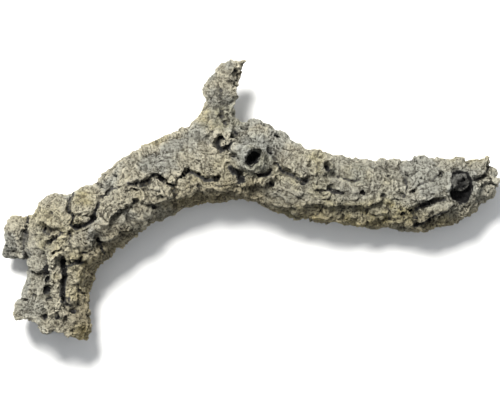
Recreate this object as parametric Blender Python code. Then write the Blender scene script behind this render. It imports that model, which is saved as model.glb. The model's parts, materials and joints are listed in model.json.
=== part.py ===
"""A weathered cork oak branch, lying on its back on a table and seen from above.

The frame is in metres. X runs along the branch, Y is up the picture of it, and Z is up from the table.
The long limb bends down at its left end into a thick leg. A short upright branch grows from the top of
the bend, and a broken side stub from the leg. Lengths below are in millimetres, and are scaled once,
where a mesh is made.
"""

import math
from collections import namedtuple

import bpy
import numpy as np
from mathutils import Vector, noise

MM = 0.001
JOINT_GAP = 0.3

LIMB_COLOUR = (0.27, 0.25, 0.19)
UPRIGHT_COLOUR = (0.31, 0.29, 0.21)
STUB_COLOUR = (0.25, 0.24, 0.19)
BARK_ROUGHNESS = 0.92
SHARP_EDGE = math.radians(40)

# The bark all round: long swells, and plates parted by furrows.
SWELL_LENGTH = 34.0
SWELL_HEIGHT = 3.0
PLATE_WIDTH = 19.0
PLATE_SLOPE = 8.0
PLATE_TOP = 0.4
PLATE_SINK = 2.0

# How finely each piece is faceted: rings along it, then sides over its upper and lower half.
LIMB_FACETS = (122, 19, 12)
UPRIGHT_FACETS = (18, 10, 6)
SIDE_FACETS = (8, 10, 7)
ROOT_FACETS = (9, 9, 7)
HOLE_SIDES = 12
CURVE_STEPS = 24

# A rib crosses the branch from its outer to its inner edge, as the branch's outline shows them.
# thick is the height of the branch there, and lift the height of its underside above the table.
# A rib with a negative lift is worn flat where it rests.
Rib = namedtuple("Rib", "outer inner thick lift")

LIMB_RIBS = (
    Rib((-285, -135), (-194, -165), 64, 4),
    Rib((-278, -119), (-195, -142), 70, 0),
    Rib((-271, -98), (-195, -116), 72, -3),
    Rib((-267, -77), (-189, -96), 74, -3),
    Rib((-267, -55), (-182, -79), 76, 0),
    Rib((-264, -34), (-172, -73), 78, 3),
    Rib((-257, -11), (-159, -61), 80, 6),
    Rib((-239, 5), (-145, -50), 80, 8),
    Rib((-213, 9), (-132, -41), 78, 8),
    Rib((-189, 20), (-118, -31), 76, 7),
    Rib((-169, 35), (-103, -24), 76, 6),
    Rib((-149, 52), (-89, -17), 76, 4),
    Rib((-129, 66), (-76, -9), 76, 2),
    Rib((-103, 78), (-60, -6), 78, -1),
    Rib((-74, 88), (-43, -4), 82, -3),
    Rib((-46, 92), (-25, -2), 86, -3),
    Rib((-17, 94), (-8, -1), 88, -2),
    Rib((10, 93), (5, -4), 86, 0),
    Rib((29, 87), (20, -10), 80, 4),
    Rib((49, 74), (37, -16), 76, 7),
    Rib((70, 64), (58, -22), 74, 8),
    Rib((96, 57), (85, -27), 72, 8),
    Rib((127, 50), (120, -31), 70, 6),
    Rib((161, 47), (157, -34), 70, 3),
    Rib((194, 48), (193, -36), 72, 0),
    Rib((221, 49), (223, -36), 74, -3),
    Rib((245, 49), (250, -27), 70, -3),
    Rib((267, 49), (271, -13), 60, 0),
    Rib((284, 46), (287, -1), 48, 6),
    Rib((298, 35), (299, 11), 32, 14),
)

# The root of the upright branch is part of the limb, up to the fork's joint at the last rib.
UPRIGHT_ROOT_RIBS = (
    Rib((-92, 58), (-6, 58), 62, 14),
    Rib((-80, 76), (-11, 76), 56, 18),
    Rib((-70, 91), (-15, 91), 48, 23),
    Rib((-59, 104), (-18, 104), 42, 27),
)
UPRIGHT_RIBS = (
    Rib((-59, 104), (-18, 104), 42, 27),
    Rib((-53, 117), (-17, 117), 38, 30),
    Rib((-55, 128), (-13, 127), 38, 31),
    Rib((-54, 137), (-13, 137), 38, 32),
    Rib((-48, 146), (-11, 145), 36, 34),
    Rib((-43, 153), (-8, 154), 34, 36),
    Rib((-38, 160), (-5, 165), 30, 39),
)

# The side stub sits low, behind the leg, and its root is part of the limb in the same way.
SIDE_ROOT_RIBS = (
    Rib((-246, -74), (-244, -18), 44, 3),
    Rib((-262, -74), (-262, -18), 44, 3),
    Rib((-277, -73), (-277, -18), 44, 3),
)
SIDE_RIBS = (
    Rib((-277, -73), (-277, -18), 44, 3),
    Rib((-288, -72), (-285, -19), 43, 3),
    Rib((-299, -68), (-293, -22), 38, 5),
)

# What shows in the upper face of the bark, each as a bent line seen from above.
Trench = namedtuple("Trench", "path half_width depth")
Ledge = namedtuple("Ledge", "path drop fade")
Roll = namedtuple("Roll", "path half_width height")
Lump = namedtuple("Lump", "x y radius height")
Knot = namedtuple("Knot", "x y long_radius short_radius turn collar hole_depth top plug")

TRENCHES = (
    # Down the leg, and across its top
    Trench(((-226, -67), (-223, -80), (-222, -96), (-221, -108), (-222, -119), (-214, -128)), 6, 11),
    Trench(((-223, -77), (-215, -76), (-204, -72)), 6, 7),
    # Between the lobes of the bend
    Trench(((-244, -52), (-226, -40), (-211, -31), (-199, -31), (-186, -24)), 5.5, 7),
    Trench(((-210, 10), (-216, 0), (-212, -19), (-211, -31)), 5.5, 6),
    Trench(((-180, -43), (-175, -55), (-172, -67)), 7, 8),
    Trench(((-184, 1), (-167, 11), (-158, 16)), 6, 7),
    # Along the middle of the limb
    Trench(((-146, 19), (-128, 23), (-109, 31), (-98, 20), (-90, 22)), 5.5, 7),
    Trench(((-90, 22), (-74, 35), (-60, 34), (-50, 25), (-30, 28)), 6, 8),
    Trench(((-36, 70), (-35, 61), (-16, 71)), 6, 9),
    Trench(((-20, 41), (-16, 32), (-8, 24), (10, 28), (24, 35)), 6, 10),
    Trench(((24, 58), (26, 47), (38, 34), (58, 24), (74, 26)), 5.5, 6),
    Trench(((78, 12), (85, 8), (95, 16)), 5.5, 6),
    Trench(((100, 29), (122, 23), (136, 25)), 5.5, 6),
    # Towards the broken end
    Trench(((184, 29), (187, 22), (187, 10), (181, 4)), 5.5, 7),
    Trench(((185, -10), (197, -17), (208, -10), (216, -2), (238, 2)), 6, 7),
    Trench(((264, 24), (276, 24), (284, 36)), 6, 7),
    # Down the right side of the upright branch
    Trench(((-16, 172), (-16, 149), (-15, 134)), 6, 8),
)
# The crust stands proud on the left of each line, and ends there in a ledge that fades out at both ends.
LEDGE_FACE = 4.0
LEDGE_END = 12.0
LEDGES = (
    Ledge(((-175, -30), (-160, -17), (-142, -4), (-118, -4), (-94, -2), (-65, 6), (-34, 7), (-9, 14)), 8, 30),
    Ledge(((-158, 25), (-139, 31), (-120, 46), (-106, 50)), 4, 16),
    Ledge(((-4, 18), (14, 16), (31, 26)), 5, 16),
    Ledge(((104, -6), (122, -7), (146, -6), (158, 0)), 4, 14),
)
ROLLS = (
    Roll(((-212, -82), (-206, -102), (-202, -126), (-199, -150)), 9, 4),
    Roll(((-184, -31), (-170, -12), (-154, 8), (-134, 26), (-115, 40)), 10, 4),
    Roll(((-4, 18), (12, 23), (26, 32), (36, 40)), 6, 3),
    Roll(((194, 5), (214, 14), (236, 20)), 9, 3),
    Roll(((212, -10), (240, -5), (258, -6), (268, 4)), 8, 4),
)
LUMPS = (
    Lump(-236, -14, 26, 5),
    Lump(-198, 0, 20, 5),
    Lump(-278, -132, 14, 4),
    Lump(-22, 88, 16, 4),
    Lump(15, 84, 22, 6),
    Lump(-59, 80, 12, 4),
    Lump(205, 44, 16, 4),
    Lump(255, 47, 10, 4),
    Lump(270, 34, 11, 4),
    Lump(204, -30, 14, 3),
)
# A knot's collar stands out around its hole, and falls away between the two shares of its radius.
COLLAR_HEIGHT = 0.28
COLLAR_TOP = 0.55
COLLAR_FOOT = 1.05
KNOTS = (
    Knot(4, 49, 9.5, 7.0, 35, 22, 20, 91, False),
    Knot(91, 38, 6.5, 5.0, 10, 11, 10, 74, False),
    Knot(252, 18, 19.0, 13.5, 78, 26, 19, 66, True),
)
SLOT = Knot(104, 12, 11.0, 5.5, -25, 0, 14, 76, False)

# A hole narrows from its mouth to its floor. In a plugged knot, dead wood stands up again inside it.
HOLE_REACH = 30.0
HOLE_ABOVE = 1.25
HOLE_MOUTH = 1.15
HOLE_FLOOR = 0.8
PLUG_FOOT = 0.62
PLUG_TOP = 0.55
PLUG_HEIGHT = 0.5

# The leg is broken off. Flakes of bark stand past its last rib: x, and how far past.
FOOT_FLAKES = ((-292, 3), (-276, 0), (-262, 1), (-247, 13), (-234, 4), (-216, 0), (-203, 4), (-190, 5))
FOOT_FLAKE_ROOT = 14.0

# At an end, the heart has rotted back inside a rim: the share of the end inside the rim, and its depth.
FOOT_END = (0.76, 9.0)
BROKEN_END = (0.6, 2.5)
HEART_TAPER = 0.92


def clear_scene():
    for obj in list(bpy.data.objects):
        bpy.data.objects.remove(obj, do_unlink=True)


def bark_material(name, colour):
    material = bpy.data.materials.new(name)
    material.use_nodes = True
    surface = material.node_tree.nodes["Principled BSDF"]
    surface.inputs["Base Color"].default_value = (*colour, 1.0)
    surface.inputs["Roughness"].default_value = BARK_ROUGHNESS
    surface.inputs["Metallic"].default_value = 0.0
    return material


def smooth_step(low, high, value):
    share = np.clip((value - low) / (high - low), 0.0, 1.0)
    return share * share * (3.0 - 2.0 * share)


def through(rows, count):
    """A smooth curve (Catmull-Rom) through rows of numbers, read at count places spaced evenly in x and y."""
    rows = np.array(rows, float)
    ends = np.vstack([2 * rows[0] - rows[1], rows, 2 * rows[-1] - rows[-2]])
    share = np.linspace(0.0, 1.0, CURVE_STEPS, endpoint=False)[:, None]
    spans = []
    for a, b, c, d in zip(ends, ends[1:], ends[2:], ends[3:]):
        spans.append(
            b + 0.5 * share * (c - a + share * (2 * a - 5 * b + 4 * c - d + share * (3 * (b - c) + d - a)))
        )
    dense = np.vstack([*spans, rows[-1:]])
    run = np.concatenate([[0.0], np.cumsum(np.linalg.norm(np.diff(dense[:, :2], axis=0), axis=1))])
    places = np.linspace(0.0, run[-1], count)
    return np.stack([np.interp(places, run, column) for column in dense.T], axis=1)


def rib_rows(ribs):
    """Centre x, y, half of the rib as a vector, half thickness and centre height of each rib."""
    rows = []
    for rib in ribs:
        outer, inner = np.array(rib.outer, float), np.array(rib.inner, float)
        rows.append([*(outer + inner) / 2, *(outer - inner) / 2, rib.thick / 2, rib.lift + rib.thick / 2])
    return rows


def skin_grid(ribs, facets):
    """Points and outward directions of a branch's skin before its relief, ring by ring."""
    rings, upper, lower = facets
    rows = through(rib_rows(ribs), rings)
    turns = np.concatenate(
        [
            np.linspace(0.0, math.pi, upper, endpoint=False),
            np.linspace(math.pi, 2 * math.pi, lower, endpoint=False),
        ]
    )
    across, up = np.cos(turns)[None, :, None], np.sin(turns)[None, :, None]
    centre = np.column_stack([rows[:, 0], rows[:, 1], rows[:, 5]])[:, None, :]
    side = np.column_stack([rows[:, 2], rows[:, 3], np.zeros(rings)])[:, None, :]
    rise = np.column_stack([np.zeros((rings, 2)), rows[:, 4]])[:, None, :]
    points = centre + side * across + rise * up
    half_width = np.linalg.norm(side, axis=2, keepdims=True)
    half_thick = rows[:, 4][:, None, None]
    outward = side / half_width * across * half_thick + np.array([0.0, 0.0, 1.0]) * up * half_width
    return points, outward / np.linalg.norm(outward, axis=2, keepdims=True)


def along_path(points, path):
    """Distance of each point from a bent line seen from above, its run along the line, and its side.

    The side is +1 on the line's left. The line's whole length comes last.
    """
    nearest = np.full(len(points), np.inf)
    run = np.zeros(len(points))
    side = np.ones(len(points))
    travelled = 0.0
    for start, end in zip(path, path[1:]):
        step = np.array(end, float) - start
        length = np.linalg.norm(step)
        from_start = points[:, :2] - start
        share = np.clip(from_start @ step / length**2, 0.0, 1.0)
        distance = np.linalg.norm(from_start - share[:, None] * step, axis=1)
        closer = distance < nearest
        nearest = np.where(closer, distance, nearest)
        run = np.where(closer, travelled + share * length, run)
        side = np.where(closer, np.sign(step[0] * from_start[:, 1] - step[1] * from_start[:, 0]), side)
        travelled += length
    return nearest, run, side, travelled


def bark_noise(points):
    """The bark's own lumps and shallow furrows, the same all round the branch."""
    lumps = []
    for x, y, z in points:
        swell = noise.fractal(Vector((x, y, z)) / SWELL_LENGTH, 1.0, 2.0, 2)
        distances, _ = noise.voronoi(Vector((x, y, z)) / PLATE_WIDTH)
        plate = min(distances[1] - distances[0], PLATE_TOP)
        lumps.append(SWELL_HEIGHT * swell + PLATE_SLOPE * plate - PLATE_SINK)
    return np.array(lumps)


def upper_face_relief(points):
    """Everything drawn on the upper face: trenches, ledges, rolls, lumps and knots."""
    height = np.zeros(len(points))
    for trench in TRENCHES:
        distance, _, _, _ = along_path(points, trench.path)
        height -= trench.depth * np.exp(-((distance / trench.half_width) ** 2))
    for ledge in LEDGES:
        distance, run, side, length = along_path(points, ledge.path)
        taper = smooth_step(0.0, LEDGE_END, run) * smooth_step(0.0, LEDGE_END, length - run)
        face = np.where(side < 0, smooth_step(0.0, LEDGE_FACE, distance), 0.0)
        height -= ledge.drop * taper * face * np.exp(-distance / ledge.fade)
    for roll in ROLLS:
        distance, _, _, _ = along_path(points, roll.path)
        height += roll.height * np.exp(-((distance / roll.half_width) ** 2))
    for lump in LUMPS:
        distance = np.hypot(points[:, 0] - lump.x, points[:, 1] - lump.y)
        height += lump.height * (1.0 - smooth_step(0.3 * lump.radius, lump.radius, distance))
    for knot in KNOTS:
        distance = np.hypot(points[:, 0] - knot.x, points[:, 1] - knot.y) / knot.collar
        height += COLLAR_HEIGHT * knot.collar * (1.0 - smooth_step(COLLAR_TOP, COLLAR_FOOT, distance))
    return height


def carve(points, outward):
    """Points with the bark's relief, and nothing below the table."""
    shape = points.shape
    flat, direction = points.reshape(-1, 3), outward.reshape(-1, 3)
    facing_up = smooth_step(-0.1, 0.45, direction[:, 2])
    height = bark_noise(flat) + facing_up * upper_face_relief(flat)
    carved = flat + direction * height[:, None]
    carved[:, 2] = np.maximum(carved[:, 2], 0.0)
    return carved.reshape(shape)


def inward_from(ring, further):
    """The level direction from an end ring into the branch."""
    step = (further.mean(axis=0) - ring.mean(axis=0)) * (1, 1, 0)
    return step / np.linalg.norm(step)


def end_rings(ring, further, end):
    """The inside of an end's rim, and the edge of the rotted heart."""
    share, depth = end
    middle = ring.mean(axis=0)
    inside = middle + (ring - middle) * share
    heart = middle + (ring - middle) * share * HEART_TAPER + inward_from(ring, further) * depth
    return inside, heart


def draw_out_flakes(rings, flakes, root):
    """The first rings moved outward along the branch by the flakes, fading out over their root."""
    inward = inward_from(rings[0], rings[4])
    run = (rings.mean(axis=1) - rings[0].mean(axis=0)) @ inward
    weight = 1.0 - smooth_step(0.0, root, run)
    length = np.interp(rings[:, :, 0], *zip(*flakes))
    return rings - (weight[:, None] * length)[:, :, None] * inward


def branch_mesh(name, ribs, facets, first_end=None, last_end=None, flakes=None):
    """A closed mesh of one branch. Without a rim, an end is flat."""
    rings = carve(*skin_grid(ribs, facets))
    if flakes:
        rings = draw_out_flakes(rings, flakes, FOOT_FLAKE_ROOT)
    rings = list(rings)
    if first_end:
        inside, heart = end_rings(rings[0], rings[4], first_end)
        rings = [heart, inside, *rings]
    if last_end:
        inside, heart = end_rings(rings[-1], rings[-4], last_end)
        rings = [*rings, inside, heart]
    around = len(rings[0])
    vertices = np.vstack(rings)
    vertices[:, 2] = np.maximum(vertices[:, 2], 0.0)
    caps = np.vstack([rings[0].mean(axis=0), rings[-1].mean(axis=0)])
    first_cap, last_cap = len(vertices), len(vertices) + 1
    last_ring = len(vertices) - around
    faces = []
    for j in range(around):
        k = (j + 1) % around
        faces += [
            (i * around + j, i * around + k, (i + 1) * around + k, (i + 1) * around + j)
            for i in range(len(rings) - 1)
        ]
        faces.append((first_cap, k, j))
        faces.append((last_cap, last_ring + j, last_ring + k))
    mesh = bpy.data.meshes.new(name)
    mesh.from_pydata((np.vstack([vertices, caps]) * MM).tolist(), [], faces)
    return facing_out(mesh)


def facing_out(mesh):
    """The same mesh, turned inside out if its volume is negative."""
    mesh.calc_loop_triangles()
    volume = 0.0
    for triangle in mesh.loop_triangles:
        a, b, c = (mesh.vertices[i].co for i in triangle.vertices)
        volume += a.dot(b.cross(c))
    if volume < 0.0:
        mesh.flip_normals()
    return mesh


def add_object(name, mesh, material=None):
    obj = bpy.data.objects.new(name, mesh)
    bpy.context.scene.collection.objects.link(obj)
    if material:
        mesh.materials.append(material)
        mesh.shade_smooth()
        mesh.set_sharp_from_angle(angle=SHARP_EDGE)
    return obj


def helper(obj):
    """A cutter or an added form: it shapes another object, and isn't a piece."""
    obj.hide_render = True
    obj.display_type = "WIRE"
    return obj


def hole_cutter(name, knot):
    """A tapered oval plug over a knot, which cuts its hole."""
    floor = knot.top - knot.hole_depth
    levels = [(HOLE_ABOVE, knot.top + HOLE_REACH), (HOLE_MOUTH, knot.top), (HOLE_FLOOR, floor)]
    if knot.plug:
        levels += [(PLUG_FOOT, floor), (PLUG_TOP, floor + PLUG_HEIGHT * knot.hole_depth)]
    turn = math.radians(knot.turn)
    vertices, faces = [], []
    for share, height in levels:
        for k in range(HOLE_SIDES):
            angle = 2 * math.pi * k / HOLE_SIDES
            along = share * knot.long_radius * math.cos(angle)
            across = share * knot.short_radius * math.sin(angle)
            x = knot.x + along * math.cos(turn) - across * math.sin(turn)
            y = knot.y + along * math.sin(turn) + across * math.cos(turn)
            vertices.append((x * MM, y * MM, height * MM))
    for i in range(len(levels) - 1):
        for k in range(HOLE_SIDES):
            n = (k + 1) % HOLE_SIDES
            low, high = i * HOLE_SIDES, (i + 1) * HOLE_SIDES
            faces.append((low + k, low + n, high + n, high + k))
    faces.append(tuple(range(HOLE_SIDES - 1, -1, -1)))
    faces.append(tuple(range(len(vertices) - HOLE_SIDES, len(vertices))))
    mesh = bpy.data.meshes.new(name)
    mesh.from_pydata(vertices, [], faces)
    return helper(add_object(name, facing_out(mesh)))


def combine(obj, other, operation):
    modifier = obj.modifiers.new(other.name, "BOOLEAN")
    modifier.operation = operation
    modifier.object = other


def moved_off(ribs, gap_x, gap_y):
    """The ribs of a piece that starts at a joint, with its first rib moved off the joint by the gap."""
    first = ribs[0]
    outer = (first.outer[0] + gap_x, first.outer[1] + gap_y)
    inner = (first.inner[0] + gap_x, first.inner[1] + gap_y)
    return (first._replace(outer=outer, inner=inner), *ribs[1:])


def build_main_limb():
    mesh = branch_mesh("main_limb", LIMB_RIBS, LIMB_FACETS, FOOT_END, BROKEN_END, FOOT_FLAKES)
    limb = add_object("main_limb", mesh, bark_material("limb_bark", LIMB_COLOUR))
    for name, ribs in (("upright_root", UPRIGHT_ROOT_RIBS), ("side_root", SIDE_ROOT_RIBS)):
        combine(limb, helper(add_object(name, branch_mesh(name, ribs, ROOT_FACETS))), "UNION")
    for number, knot in enumerate((*KNOTS, SLOT)):
        combine(limb, hole_cutter(f"hole_{number}", knot), "DIFFERENCE")
    return limb


def build_upright_branch():
    ribs = moved_off(UPRIGHT_RIBS, 0.0, JOINT_GAP)
    mesh = branch_mesh("upright_branch", ribs, UPRIGHT_FACETS, None, BROKEN_END)
    return add_object("upright_branch", mesh, bark_material("upright_bark", UPRIGHT_COLOUR))


def build_side_stub():
    ribs = moved_off(SIDE_RIBS, -JOINT_GAP, 0.0)
    mesh = branch_mesh("side_stub", ribs, SIDE_FACETS, None, BROKEN_END)
    return add_object("side_stub", mesh, bark_material("stub_bark", STUB_COLOUR))


def main():
    clear_scene()
    build_main_limb()
    build_upright_branch()
    build_side_stub()


main()
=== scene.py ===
"""Looks for a weathered cork oak branch that lies on a pale floor and is seen from above.

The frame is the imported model's: metres, X along the branch, Y up the picture of it, Z up from the floor.
Shapes are worked out in millimetres, in the same frame, and are scaled once, where a mesh is made.
"""

import json
import math
from collections import namedtuple

import bmesh
import bpy
import numpy as np
from mathutils import Euler, Matrix, Vector, noise


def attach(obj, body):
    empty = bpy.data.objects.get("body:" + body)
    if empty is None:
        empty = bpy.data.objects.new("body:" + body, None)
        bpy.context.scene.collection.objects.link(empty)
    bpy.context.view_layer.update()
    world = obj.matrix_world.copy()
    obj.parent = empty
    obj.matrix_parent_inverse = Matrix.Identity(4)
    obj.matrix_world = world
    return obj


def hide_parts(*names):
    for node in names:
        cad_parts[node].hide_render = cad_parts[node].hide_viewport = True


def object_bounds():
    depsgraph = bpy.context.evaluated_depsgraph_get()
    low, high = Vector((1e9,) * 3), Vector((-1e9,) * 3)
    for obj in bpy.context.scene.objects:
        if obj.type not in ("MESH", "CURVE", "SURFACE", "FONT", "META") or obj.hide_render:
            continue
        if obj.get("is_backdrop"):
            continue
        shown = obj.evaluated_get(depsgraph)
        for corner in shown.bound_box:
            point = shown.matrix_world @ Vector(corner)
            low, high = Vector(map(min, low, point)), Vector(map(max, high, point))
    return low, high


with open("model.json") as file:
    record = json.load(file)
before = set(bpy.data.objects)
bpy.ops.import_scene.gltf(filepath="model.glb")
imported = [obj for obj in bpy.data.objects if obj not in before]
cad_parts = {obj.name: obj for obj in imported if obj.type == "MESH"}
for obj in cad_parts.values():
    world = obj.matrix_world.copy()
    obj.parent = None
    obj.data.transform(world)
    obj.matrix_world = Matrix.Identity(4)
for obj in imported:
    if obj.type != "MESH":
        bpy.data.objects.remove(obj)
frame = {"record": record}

bl_info = {
    "name": "Cork Branch",
    "version": (1, 0, 0),
    "blender": (4, 5, 0),
    "location": "3D View > Sidebar > Cork Branch",
    "description": "Builds the bark, the broken ends and the stage of a weathered cork branch",
    "category": "Object",
}

MM = 0.001

# Spacing of the bark's points, which is made finer from the smooth wood to the crumbs.
WOOD_PITCH = 2.4
RELIEF_PITCH = 1.35
CRUMB_PITCH = 1.02
# The skin is thinned to about so many triangles. A place is kept by 0 on the underside, by MOST_KEPT on
# the upper side and by 1 at the knots, rounded to a few levels. KEPT_FACTOR is how much that counts.
MOST_TRIANGLES = 208000
MOST_KEPT = 0.75
LOSS_LEVELS = 4
KEPT_FACTOR = 0.8
# The noise that moves places about starts from this, so that each run makes the same bark.
WAVER_SEED = 2

# A rib crosses the branch from its outer to its inner edge, as the branch's outline shows them. After
# the two edges come the branch's thickness there, and the height of its underside above the floor.
# A rib with a negative height is worn flat where it rests.
LIMB_RIBS = (
    ((-285, -135), (-194, -165), 64, 4),
    ((-278, -119), (-195, -142), 70, 0),
    ((-271, -98), (-195, -116), 72, -3),
    ((-267, -77), (-189, -96), 74, -3),
    ((-267, -55), (-182, -79), 76, 0),
    ((-264, -34), (-172, -73), 78, 3),
    ((-257, -11), (-159, -61), 80, 6),
    ((-239, 5), (-145, -50), 80, 8),
    ((-213, 9), (-132, -41), 78, 8),
    ((-189, 20), (-118, -31), 76, 7),
    ((-169, 35), (-103, -24), 76, 6),
    ((-149, 52), (-89, -17), 76, 4),
    ((-129, 66), (-76, -9), 76, 2),
    ((-103, 78), (-60, -6), 78, -1),
    ((-74, 88), (-43, -4), 82, -3),
    ((-46, 92), (-25, -2), 86, -3),
    ((-17, 94), (-8, -1), 88, -2),
    ((10, 93), (5, -4), 86, 0),
    ((29, 87), (20, -10), 80, 4),
    ((49, 74), (37, -16), 76, 7),
    ((70, 64), (58, -22), 74, 8),
    ((96, 57), (85, -27), 72, 8),
    ((127, 50), (120, -31), 70, 6),
    ((161, 47), (157, -34), 70, 3),
    ((194, 48), (193, -36), 72, 0),
    ((221, 49), (223, -36), 74, -3),
    ((245, 49), (250, -27), 70, -3),
    ((267, 49), (271, -13), 60, 0),
    ((284, 46), (287, -1), 48, 6),
    ((298, 35), (299, 11), 32, 14),
)
# The two small growths start well inside the limb, which they flow into.
UPRIGHT_RIBS = (
    ((-88, 62), (-8, 62), 58, 15),
    ((-80, 76), (-11, 76), 56, 18),
    ((-70, 91), (-15, 91), 48, 23),
    ((-59, 104), (-18, 104), 42, 27),
    ((-53, 117), (-17, 117), 38, 30),
    ((-55, 128), (-13, 127), 38, 31),
    ((-54, 137), (-13, 137), 38, 32),
    ((-48, 146), (-11, 145), 36, 34),
    ((-43, 153), (-8, 154), 34, 36),
    ((-38, 160), (-5, 165), 30, 39),
)
STUB_RIBS = (
    ((-246, -74), (-244, -18), 44, 3),
    ((-262, -74), (-262, -18), 44, 3),
    ((-277, -73), (-277, -18), 44, 3),
    ((-288, -72), (-285, -19), 43, 3),
    ((-299, -68), (-293, -22), 38, 5),
)
# Where the growths are parted from the limb: beyond a plane, and only inside a window across it.
UPRIGHT_JOINT = 104.0
UPRIGHT_WINDOW = (-70.0, -7.0)
STUB_JOINT = -277.0
STUB_WINDOW = (-84.0, -8.0)

# The big forms of the upper face, as bent lines and spots seen from above.

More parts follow.
